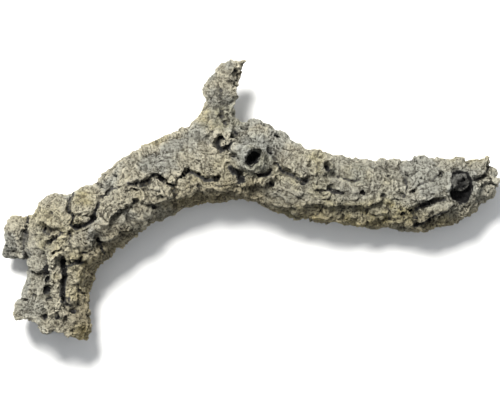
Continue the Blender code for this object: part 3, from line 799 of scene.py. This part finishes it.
def small_relief(points, straight):
    """Height of the bark's own plates, furrows, wrinkles and crumbs, all round the branch."""
    crusted = 1.0 - 0.6 * in_patches(points, BARED)
    wrinkled = in_patches(points, WRINKLED)
    crumbled = in_patches(points, CRUMBLED)
    rough = crusted * (1.0 - 0.8 * in_patches(points, WHOLE))
    calm = 1.0 - 0.5 * wrinkled

    loose = wavering(straight, LOOSE_WAVERS)
    seamed = smooth_step(-0.25, 0.3, sampled(noise.noise, points, 22.0))
    unsplit = smooth_step(-0.2, 0.3, sampled(noise.noise, points + 300.0, 30.0))
    broad = plates(loose, *BROAD_PLATES)
    small = plates(loose, *SMALL_PLATES)
    layered = terraced(sampled(noise.fractal, loose / LAYER_SIZE + 7.0, 1.0, 0.8, 2.1, 3), 4.0, 0.16)
    puffed = sampled(noise.turbulence, loose / PUFF_SIZE + 80.0, 1.0, 3, True) - 0.6
    crumbs = sampled(noise.fractal, loose, CRUMB_SIZE, 0.4, 2.1, 2)
    swelling = sampled(noise.fractal, points + 90.0, SWELLING_SIZE, 1.0, 2.0, 2)
    wrinkles = sampled(noise.turbulence, line_places(straight, *WRINKLES), 1.0, 2, True) - 0.5
    splits = 1.0 - np.abs(sampled(noise.noise, line_places(straight, *SPLITS), 1.0))
    split = -SPLIT_DEPTH * smooth_step(0.955, 1.0, splits) * (1.0 - unsplit)
    seams = 1.0 - np.abs(sampled(noise.noise, line_places(straight, *SEAMS), 1.0))
    seam = -SEAM_DEPTH * smooth_step(0.97, 1.0, seams) * seamed

    height = (0.35 + 0.65 * rough) * calm * (0.5 + 0.7 * seamed) * broad
    height += 0.8 * rough * calm * crumbled * small
    height += rough * (LAYER_HEIGHT * layered + split + calm * seam)
    height += (0.4 + 0.6 * rough) * PUFF_HEIGHT * puffed
    height += crusted * (0.4 + 0.3 * rough + 0.4 * crumbled) * crumbs
    height += (2.2 + 2.6 * wrinkled) * wrinkles
    height += SWELLING_HEIGHT * swelling
    torn = sampled(noise.turbulence, points, TEAR_SIZE, 3, True) - 0.6
    return height + TEAR_HEIGHT * np.maximum(broken_wood(points), 0.6 * on_plug(points)) * torn


def branch_core():
    """The three branches as one smooth form that flows together at the forks."""
    limb = smooth_tube(LIMB_RIBS, *LIMB_TUBE, FOOT_END, BROKEN_END, FOOT_FLAKES)
    from_top = [(inner, outer, thick, lift) for outer, inner, thick, lift in reversed(UPRIGHT_RIBS)]
    upright = smooth_tube(from_top, *UPRIGHT_TUBE, BROKEN_END, None, TOP_FLAKES)
    stub = smooth_tube(STUB_RIBS, *STUB_TUBE, None, BROKEN_END)
    mesh = remeshed(new_mesh("core", *joined(limb, upright, stub)), WOOD_PITCH)
    points = points_of(mesh)
    weight = np.zeros(len(points))
    for x, y, flattening, near, far in FORKS:
        away = np.hypot(points[:, 0] - x, (points[:, 1] - y) * flattening)
        weight += 1.0 - smooth_step(near, far, away)
    set_points(mesh, blurred(mesh, points, FORK_ROUNDS, np.clip(weight, 0.0, 1.0)))
    return mesh


def on_floor(points):
    """The points, with any that are under the floor lifted onto it."""
    points[:, 2] = np.maximum(points[:, 2], 0.0)
    return points


def held_at_fork(points):
    """The points, with the limb's crust beside the upright branch held below the joint."""
    beside = (points[:, 0] > UPRIGHT_WINDOW[1]) | (points[:, 0] < UPRIGHT_WINDOW[0])
    beside &= points[:, 1] < UPRIGHT_JOINT + FORK_REACH
    points[beside, 1] = np.minimum(points[beside, 1], UPRIGHT_JOINT - FORK_ROOM)
    return points


def thinned(mesh, triangles, kept):
    """The mesh with about so many triangles, fewer of them lost where kept is high."""
    helper = bpy.data.objects.new("bark_helper", mesh)
    group = helper.vertex_groups.new(name="lost")
    levels = np.round((1.0 - kept) * LOSS_LEVELS).astype(int)
    for level in range(LOSS_LEVELS + 1):
        group.add(np.nonzero(levels == level)[0].tolist(), level / LOSS_LEVELS, "REPLACE")
    ratio = min(1.0, triangles / (2 * len(mesh.polygons)))
    settings = {"ratio": ratio, "vertex_group": "lost", "vertex_group_factor": KEPT_FACTOR}
    return through_modifier(mesh, "DECIMATE", helper, **settings)


def carved_bark():
    """The whole branch's bark as one fine mesh, in millimetres, with its measures."""
    noise.seed_set(WAVER_SEED)
    mesh = remeshed(branch_core(), RELIEF_PITCH)
    points, normals = points_of(mesh), normals_of(mesh)
    drawn = wavering(points, DRAWN_WAVERS)
    facing_up = smooth_step(-0.1, 0.4, normals[:, 2])
    height = facing_up * (raised_forms(drawn) - openings(drawn))
    set_points(mesh, on_floor(points + normals * height[:, None]))
    mesh = remeshed(mesh, CRUMB_PITCH)
    points, normals = points_of(mesh), normals_of(mesh)
    points = points + normals * small_relief(points, straightened(points))[:, None]
    set_points(mesh, on_floor(held_at_fork(points)))
    measure_bark(mesh)
    kept = MOST_KEPT * smooth_step(-0.8, 0.3, normals_of(mesh)[:, 2])
    mesh = thinned(mesh, MOST_TRIANGLES, np.maximum(kept, near_knot(points)))
    set_points(mesh, on_floor(points_of(mesh)))
    return mesh


def add_measure(mesh, name, values):
    mesh.attributes.new(name, "FLOAT", "POINT").data.foreach_set("value", values.astype(np.float32))


def measure_bark(mesh):
    """Vertex values that the finishes read: hollows and depths, which are darkened as painted shade, casts of
    colour, the lower side, which is partly painted shade, and broken wood.
    """
    points, normals = points_of(mesh), normals_of(mesh)
    for name, rounds in (("hollow_fine", FINE_ROUNDS), ("hollow_wide", WIDE_ROUNDS)):
        add_measure(mesh, name, ((blurred(mesh, points, rounds) - points) * normals).sum(axis=1))
    add_measure(mesh, "yellowed", in_patches(points, YELLOWED))
    add_measure(mesh, "greyed", in_patches(points, GREYED))
    add_measure(mesh, "whole", np.maximum(in_patches(points, WHOLE), in_patches(points, BARED)))
    add_measure(mesh, "broken", broken_wood(points))
    drawn = wavering(points, DRAWN_WAVERS)
    # The openings' depth, which the finish darkens as painted shade.
    sunk = np.clip(openings(drawn), 0.0, DEEPEST_SUNK)
    add_measure(mesh, "sunk", sunk * smooth_step(-0.3, 0.2, normals[:, 2]))
    add_measure(mesh, "knot_hole_shade", knot_hole_shade(drawn))
    straight = straightened(points)
    add_measure(mesh, "lower_side_shade", lower_side_shade(straight))
    grown = mesh.attributes.new("grown", "FLOAT_VECTOR", "POINT")
    grown.data.foreach_set("vector", (straight * MM).ravel())


def near_knot(points):
    """1 at the knots and their collars, and 0 elsewhere."""
    near = np.zeros(len(points))
    for knot in KNOTS:
        near = np.maximum(near, 1.0 * (knot_share(points, knot) < 1.8) * (points[:, 2] > UPPER_FACE))
    return near


def on_plug(points):
    """How much each point is on the dead plug of wood in the end knot."""
    return (1.0 - smooth_step(0.7, 1.1, plug_share(points))) * (points[:, 2] > UPPER_FACE)


def knot_hole_shade(points):
    """How much of a knot's hole each point is in, which is darkened as painted shade, and less of it on the
    plug.
    """
    inside = np.zeros(len(points))
    for knot in KNOTS:
        inside = np.maximum(inside, 1.0 - smooth_step(0.85, 1.1, knot_share(points, knot)))
    return inside * (1.0 - 0.5 * on_plug(points))


def lower_side_shade(straight):
    """The side of the limb that is lower in the picture, which is darker: partly browner bark, partly painted
    shade.
    """
    return smooth_step(4.0, 44.0, -straight[:, 1]) * (straight[:, 0] < BRANCH_GAP)


def broken_wood(points):
    """Where the wood inside the bark shows: in the foot, and in the top of the upright branch."""
    broken = np.zeros(len(points))
    for ribs, (rim, deep) in ((LIMB_RIBS, FOOT_END), (UPRIGHT_RIBS[::-1], BROKEN_END)):
        rows = np.array(rib_rows(ribs))
        centre, half = rows[0, :2], rows[0, 2:4]
        inward = rows[1, :2] - centre
        inward /= np.linalg.norm(inward)
        flat = points[:, :2] - centre
        across = flat @ half / (half @ half)
        up = (points[:, 2] - rows[0, 5]) / rows[0, 4]
        inside = 1.0 - smooth_step(rim - 0.1, rim + 0.06, np.hypot(across, up))
        broken = np.maximum(broken, inside * (flat @ inward < deep + BROKEN_REACH))
    return broken


def piece_from(mesh, name, keep):
    """A closed object from some of a mesh's faces, scaled to metres."""
    part = bmesh.new()
    part.from_mesh(mesh)
    part.faces.ensure_lookup_table()
    bmesh.ops.delete(part, geom=[f for f, kept in zip(part.faces, keep) if not kept], context="FACES")
    rim = [e for e in part.edges if e.is_boundary]
    if rim:
        bmesh.ops.holes_fill(part, edges=rim, sides=0)
        bmesh.ops.triangulate(part, faces=[f for f in part.faces if len(f.verts) > 4])
    bmesh.ops.scale(part, vec=(MM, MM, MM), verts=part.verts)
    made = bpy.data.meshes.new(name)
    part.to_mesh(made)
    part.free()
    made.shade_smooth()
    piece = bpy.data.objects.new(name, made)
    bpy.context.scene.collection.objects.link(piece)
    return piece


def sorted_faces(mesh):
    """Which faces belong to the upright branch, and which to the stub."""
    x, y, _ = vectors_of(mesh.polygons, "center").T
    upright = (y > UPRIGHT_JOINT) & (x > UPRIGHT_WINDOW[0]) & (x < UPRIGHT_WINDOW[1])
    stub = (x < STUB_JOINT) & (y > STUB_WINDOW[0]) & (y < STUB_WINDOW[1])
    return upright, stub


# Finishes


def linked(tree, kind, inputs=None, **settings):
    """A node with its settings, its inputs set to values or linked from sockets."""
    node = tree.nodes.new(kind)
    for name, value in settings.items():
        setattr(node, name, value)
    for name, value in (inputs or {}).items():
        if isinstance(value, bpy.types.NodeSocket):
            tree.links.new(value, node.inputs[name])
        else:
            node.inputs[name].default_value = value
    return node


def maths(tree, operation, *values, clamp=False):
    node = linked(tree, "ShaderNodeMath", dict(enumerate(values)), operation=operation, use_clamp=clamp)
    return node.outputs[0]


def times(tree, first, second):
    return maths(tree, "MULTIPLY", first, second)


def ranged(tree, value, low, high, to_low=0.0, to_high=1.0):
    """The value's range moved to another one, with soft ends."""
    node = linked(
        tree,
        "ShaderNodeMapRange",
        {"Value": value, "From Min": low, "From Max": high, "To Min": to_low, "To Max": to_high},
        interpolation_type="SMOOTHSTEP",
    )
    return node.outputs["Result"]


def mixed(tree, factor, first, second, blend="MIX"):
    """Two colours mixed. A mix node's inputs of one name are told apart by their numbers."""
    inputs = {0: factor, 6: first, 7: second}
    return linked(tree, "ShaderNodeMix", inputs, data_type="RGBA", blend_type=blend).outputs[2]


def measure(tree, name):
    return linked(tree, "ShaderNodeAttribute", attribute_name=name).outputs["Fac"]


def ridged(tree, value):
    """Rounded rises with sharp creases between them, where a noise has its middle value."""
    return maths(tree, "ABSOLUTE", maths(tree, "SUBTRACT", value, 0.5))


def grit_group():
    """Shared bark grit: crumbs, folds across the branch, cracks and pits, as a height and as masks. The
    finish darkens the creases and cracks as painted shade.

    Grown is the place in a branch that is laid straight, so that the folds run round it.
    """
    found = bpy.data.node_groups.get("bark grit")
    if found:
        return found
    tree = bpy.data.node_groups.new("bark grit", "ShaderNodeTree")
    interface = tree.interface
    for name in ("Place", "Grown"):
        interface.new_socket(name, in_out="INPUT", socket_type="NodeSocketVector")
    for name, default in (("Size", 0.004), ("Crack", 0.5), ("Calm", 0.0)):
        interface.new_socket(name, in_out="INPUT", socket_type="NodeSocketFloat").default_value = default
    for name in ("Height", "Creases", "Cracks", "Mottle", "Cast"):
        interface.new_socket(name, in_out="OUTPUT", socket_type="NodeSocketFloat")
    given = tree.nodes.new("NodeGroupInput").outputs
    place, grown = given["Place"], given["Grown"]
    density = maths(tree, "DIVIDE", 1.0, given["Size"])

    def grain(vector, share, detail, roughness):
        scale = times(tree, density, share)
        inputs = {"Vector": vector, "Scale": scale, "Detail": detail, "Roughness": roughness}
        return linked(tree, "ShaderNodeTexNoise", inputs).outputs["Fac"]

    crumbs = grain(place, 1.0, 6.0, 0.72)
    broken_up = ranged(tree, given["Calm"], 0.0, 1.0, 1.0, 0.3)
    across = linked(tree, "ShaderNodeVectorMath", {0: grown, 1: FOLD_STRETCH}, operation="MULTIPLY")
    folds = ridged(tree, grain(across.outputs[0], 0.7, 3.0, 0.5))
    folds = times(tree, folds, broken_up)
    creases = ranged(tree, folds, 0.0, 0.03, 1.0, 0.0)
    creases = times(tree, creases, ranged(tree, crumbs, 0.35, 0.6, 1.0, 0.2))
    creases = times(tree, creases, broken_up)
    lines = ridged(tree, grain(place, 0.42, 4.0, 0.6))
    gate = grain(place, 0.13, 2.0, 0.5)
    cracks = ranged(tree, lines, 0.0, 0.018, 1.0, 0.0)
    cracks = times(tree, cracks, ranged(tree, gate, 0.48, 0.6))
    cracks = maths(tree, "MULTIPLY", cracks, given["Crack"], clamp=True)
    cells = {"Vector": place, "Scale": times(tree, density, 0.8)}
    pits = linked(tree, "ShaderNodeTexVoronoi", cells).outputs["Distance"]
    pits = times(tree, ranged(tree, pits, 0.1, 0.25, 1.0, 0.0), ranged(tree, gate, 0.5, 0.65))
    height = maths(tree, "ADD", times(tree, crumbs, 1.3), times(tree, folds, 0.7))
    height = maths(tree, "SUBTRACT", height, times(tree, cracks, 0.5))
    height = maths(tree, "SUBTRACT", height, times(tree, pits, 0.25))
    mottle = grain(place, 0.16, 4.0, 0.6)
    cast = grain(place, 0.05, 3.0, 0.5)
    result = tree.nodes.new("NodeGroupOutput")
    made = {"Height": height, "Creases": creases, "Cracks": cracks, "Mottle": mottle, "Cast": cast}
    for name, value in made.items():
        tree.links.new(value, result.inputs[name])
    return tree


def bark_finish(name, colours, paleness):
    """Weathered cork: crests made pale, partly as painted highlight; furrows and holes darkened as painted
    shade; the lower side browner and partly darkened as painted shade; and casts of yellow and grey.
    """
    material = bpy.data.materials.new(name)
    material.use_nodes = True
    tree = material.node_tree
    shader = tree.nodes["Principled BSDF"]
    place = tree.nodes.new("ShaderNodeTexCoord").outputs["Object"]
    grown = linked(tree, "ShaderNodeAttribute", attribute_name="grown").outputs["Vector"]
    given = {"Place": place, "Grown": grown, "Size": colours.grit_size, "Crack": 0.9}
    given["Calm"] = measure(tree, "whole")
    grit = linked(tree, "ShaderNodeGroup", given, node_tree=grit_group()).outputs

    fine, wide = measure(tree, "hollow_fine"), measure(tree, "hollow_wide")
    # Crests are made pale, partly as the cork's own bleaching and partly as painted highlight, and less pale
    # in wide hollows as painted shade.
    raised = maths(tree, "SUBTRACT", times(tree, grit["Height"], 2.6), times(tree, fine, 0.8))
    bleach_and_highlight = ranged(tree, raised, 1.1, 2.2)
    bleach_and_highlight = times(tree, bleach_and_highlight, ranged(tree, wide, -3.0, 3.0, 1.0, 0.3))
    yellow = ranged(tree, grit["Cast"], 0.48, 0.36, 0.0, 0.5)
    yellow = maths(tree, "ADD", measure(tree, "yellowed"), yellow, clamp=True)
    yellow = times(tree, yellow, ranged(tree, grit["Mottle"], 0.3, 0.6, 1.0, 0.35))
    grey = ranged(tree, grit["Cast"], 0.5, 0.62, 0.0, 0.8)
    grey = maths(tree, "MAXIMUM", measure(tree, "greyed"), grey)
    # Painted shade: narrow and wide hollows, the depth of openings and the knots' holes darken the bark.
    hollow_shade = maths(
        tree, "ADD", ranged(tree, fine, 0.4, 2.0, 0.0, 0.9), ranged(tree, wide, 1.8, 7.0), clamp=True
    )
    sunk = ranged(tree, measure(tree, "sunk"), 1.5, 13.0, 0.0, 0.95)
    for more in (sunk, times(tree, measure(tree, "knot_hole_shade"), 0.5)):
        hollow_shade = maths(tree, "ADD", hollow_shade, more, clamp=True)

    layers = (
        # Pale crests: partly bleached cork, partly painted highlight.
        (times(tree, bleach_and_highlight, paleness), colours.pale_bark_and_highlight, "MIX"),
        (yellow, colours.yellow_cast, "MULTIPLY"),
        (grey, colours.grey_cast, "MULTIPLY"),
        # Broken wood, paler on its crests as painted highlight.
        (measure(tree, "broken"), mixed(tree, bleach_and_highlight, colours.brown_bark, colours.broken_wood), "MIX"),
        # Lower side darker and browner: partly the bark's own colour, partly painted shade.
        (times(tree, measure(tree, "lower_side_shade"), 0.85), colours.brown_and_shade_cast, "MULTIPLY"),
        # Hollows, trenches, pits and knot holes darkened to grey and then to black as painted shade.
        (ranged(tree, hollow_shade, 0.0, 0.45), colours.hollow_shade, "MIX"),
        (ranged(tree, hollow_shade, 0.3, 1.0), colours.furrow, "MIX"),
        # Creases and cracks of the grit darkened as painted shade.
        (times(tree, grit["Creases"], 0.35), colours.hollow_shade, "MIX"),
        (times(tree, grit["Cracks"], 0.8), colours.furrow, "MIX"),
    )
    base = mixed(tree, ranged(tree, grit["Mottle"], 0.35, 0.65), colours.mid_bark, colours.brown_bark)
    for factor, colour, blend in layers:
        base = mixed(tree, factor, base, colour, blend)
    tree.links.new(base, shader.inputs["Base Color"])
    tree.links.new(ranged(tree, grit["Height"], 0.3, 0.7, 0.98, 0.84), shader.inputs["Roughness"])
    shader.inputs["Specular IOR Level"].default_value = 0.25
    bump = linked(tree, "ShaderNodeBump", {"Height": grit["Height"], "Distance": colours.grit_depth})
    tree.links.new(bump.outputs["Normal"], shader.inputs["Normal"])
    return material


def floor_finish(colour):
    material = bpy.data.materials.new("pale_floor")
    material.use_nodes = True
    shader = material.node_tree.nodes["Principled BSDF"]
    shader.inputs["Base Color"].default_value = colour
    shader.inputs["Roughness"].default_value = 0.9
    return material


# Settings


def colour_setting(name, description, default):
    return bpy.props.FloatVectorProperty(
        name=name, description=description, default=(*default, 1.0), size=4, subtype="COLOR", min=0.0, max=1.0
    )


def length_setting(name, description, default):
    return bpy.props.FloatProperty(
        name=name, description=description, default=default, unit="LENGTH", min=0.0
    )


class CorkBarkSettings(bpy.types.PropertyGroup):
    # Pale crests: partly sun-bleached cork, partly painted highlight.
    pale_bark_and_highlight: colour_setting("Pale Bark", "Sun-bleached crests of the cork", (0.95, 0.885, 0.68))
    mid_bark: colour_setting("Mid Bark", "Cork between the crests", (0.27, 0.246, 0.178))
    brown_bark: colour_setting("Brown Bark", "Darker patches of the cork", (0.13, 0.115, 0.08))
    # Painted shade in the hollows, trenches and knot holes, as a grey.
    hollow_shade: colour_setting("Hollow", "Grey dust in the hollows", (0.125, 0.122, 0.112))
    furrow: colour_setting("Furrow", "Dirt and shade deep in the furrows", (0.010, 0.0095, 0.0095))
    yellow_cast: colour_setting("Yellow Cast", "Multiplies the bark where it has yellowed", (1.0, 0.93, 0.62))
    # Darkens the lower side: partly browner bark, partly painted shade.
    brown_and_shade_cast: colour_setting("Brown Cast", "Multiplies the bark on its lower side", (0.60, 0.55, 0.44))
    grey_cast: colour_setting("Grey Cast", "Multiplies the bark where it has greyed", (0.76, 0.82, 0.95))
    broken_wood: colour_setting("Broken Wood", "Dead wood in the broken ends", (0.30, 0.245, 0.17))
    grit_size: length_setting("Grit Size", "Width of the bark's crumbs", 0.003)
    grit_depth: length_setting("Grit Depth", "Height of the bark's crumbs", 0.014)


class BranchStageSettings(bpy.types.PropertyGroup):
    floor_colour: colour_setting("Floor Colour", "Colour of the plain floor", (0.86, 0.86, 0.85))
    camera_height: length_setting("Camera Height", "Height of the camera above the floor", 2.6)
    view_width: length_setting("View Width", "Width that the camera sees at the branch's mid height", 0.6)


# Pieces


class CORK_OT_branch(bpy.types.Operator):
    """Build the bark of the limb, the upright branch and the side stub"""

    bl_idname = "cork.branch"
    bl_label = "Bark"

    def execute(self, context):
        settings = context.scene.cork_bark
        bark = carved_bark()
        upright, stub = sorted_faces(bark)
        for node, keep, paleness in (
            ("main_limb", ~(upright | stub), 0.95),
            ("upright_branch", upright, 0.9),
            ("side_stub", stub, 0.9),
        ):
            piece = piece_from(bark, f"{node}_bark", keep)
            slot = next(p["material_slot"] for p in frame["record"]["subparts"] if p["node"] == node)
            piece.data.materials.append(bark_finish(f"{slot}_finish", settings, paleness))
            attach(piece, "root")
            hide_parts(node)
        bpy.data.meshes.remove(bark)
        return {"FINISHED"}


class CORK_OT_stage(bpy.types.Operator):
    """Lay the floor, and set up the lights and the camera"""

    bl_idname = "cork.stage"
    bl_label = "Stage"

    def execute(self, context):
        settings = context.scene.cork_stage
        scene = context.scene
        lay_floor(scene, settings.floor_colour)
        world = bpy.data.worlds.new("studio")
        world.use_nodes = True
        sky = world.node_tree.nodes["Background"]
        sky.inputs["Color"].default_value = SKY_COLOUR
        sky.inputs["Strength"].default_value = SKY_STRENGTH
        scene.world = world
        for light in LIGHTS:
            add_light(scene, *light)
        add_camera(scene, settings.camera_height, settings.view_width)
        scene.view_settings.view_transform = "Standard"
        return {"FINISHED"}


def lay_floor(scene, colour):
    """A square floor under the branch."""
    floor_mesh = bpy.data.meshes.new("floor")
    corners = [(FLOOR_REACH * x, FLOOR_REACH * y, 0) for x, y in ((-1, -1), (1, -1), (1, 1), (-1, 1))]
    floor_mesh.from_pydata(corners, [], [(0, 1, 2, 3)])
    floor = bpy.data.objects.new("floor", floor_mesh)
    scene.collection.objects.link(floor)
    floor_mesh.materials.append(floor_finish(colour))
    floor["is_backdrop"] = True


def add_light(scene, name, place, size, power, colour):
    """A square soft box that points at the branch."""
    light = bpy.data.lights.new(name, "AREA")
    light.size = size
    light.energy = power
    light.color = colour
    lamp = bpy.data.objects.new(name, light)
    lamp.matrix_world = Matrix.Translation(place) @ Vector(place).to_track_quat("Z", "Y").to_matrix().to_4x4()
    scene.collection.objects.link(lamp)


def add_camera(scene, height, view_width):
    """A camera straight above the branch, which sees that width at the branch's mid height."""
    lens = bpy.data.cameras.new("camera")
    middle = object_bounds()[1][2] / 2
    lens.sensor_width = 36.0
    lens.lens = lens.sensor_width * (height - middle) / view_width
    lens.clip_end = 20.0
    camera = bpy.data.objects.new("camera", lens)
    camera.location = (0.0, 0.0, height)
    scene.collection.objects.link(camera)
    scene.camera = camera


class CORK_PT_panel(bpy.types.Panel):
    """Cork branch"""

    bl_idname = "CORK_PT_panel"
    bl_label = "Cork Branch"
    bl_space_type = "VIEW_3D"
    bl_region_type = "UI"
    bl_category = "Cork Branch"

    def draw(self, context):
        layout = self.layout
        for group in (context.scene.cork_bark, context.scene.cork_stage):
            column = layout.column()
            for name in group.__annotations__:
                column.prop(group, name)
        for operator in OPERATORS:
            layout.operator(operator.bl_idname)


OPERATORS = (CORK_OT_branch, CORK_OT_stage)
CLASSES = (CorkBarkSettings, BranchStageSettings, *OPERATORS, CORK_PT_panel)


def register():
    for cls in CLASSES:
        bpy.utils.register_class(cls)
    bpy.types.Scene.cork_bark = bpy.props.PointerProperty(type=CorkBarkSettings)
    bpy.types.Scene.cork_stage = bpy.props.PointerProperty(type=BranchStageSettings)


def unregister():
    del bpy.types.Scene.cork_stage
    del bpy.types.Scene.cork_bark
    for cls in reversed(CLASSES):
        bpy.utils.unregister_class(cls)


def main():
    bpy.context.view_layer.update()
    register()
    bpy.ops.cork.branch()
    bpy.ops.cork.stage()


if __name__ == "__main__":
    main()
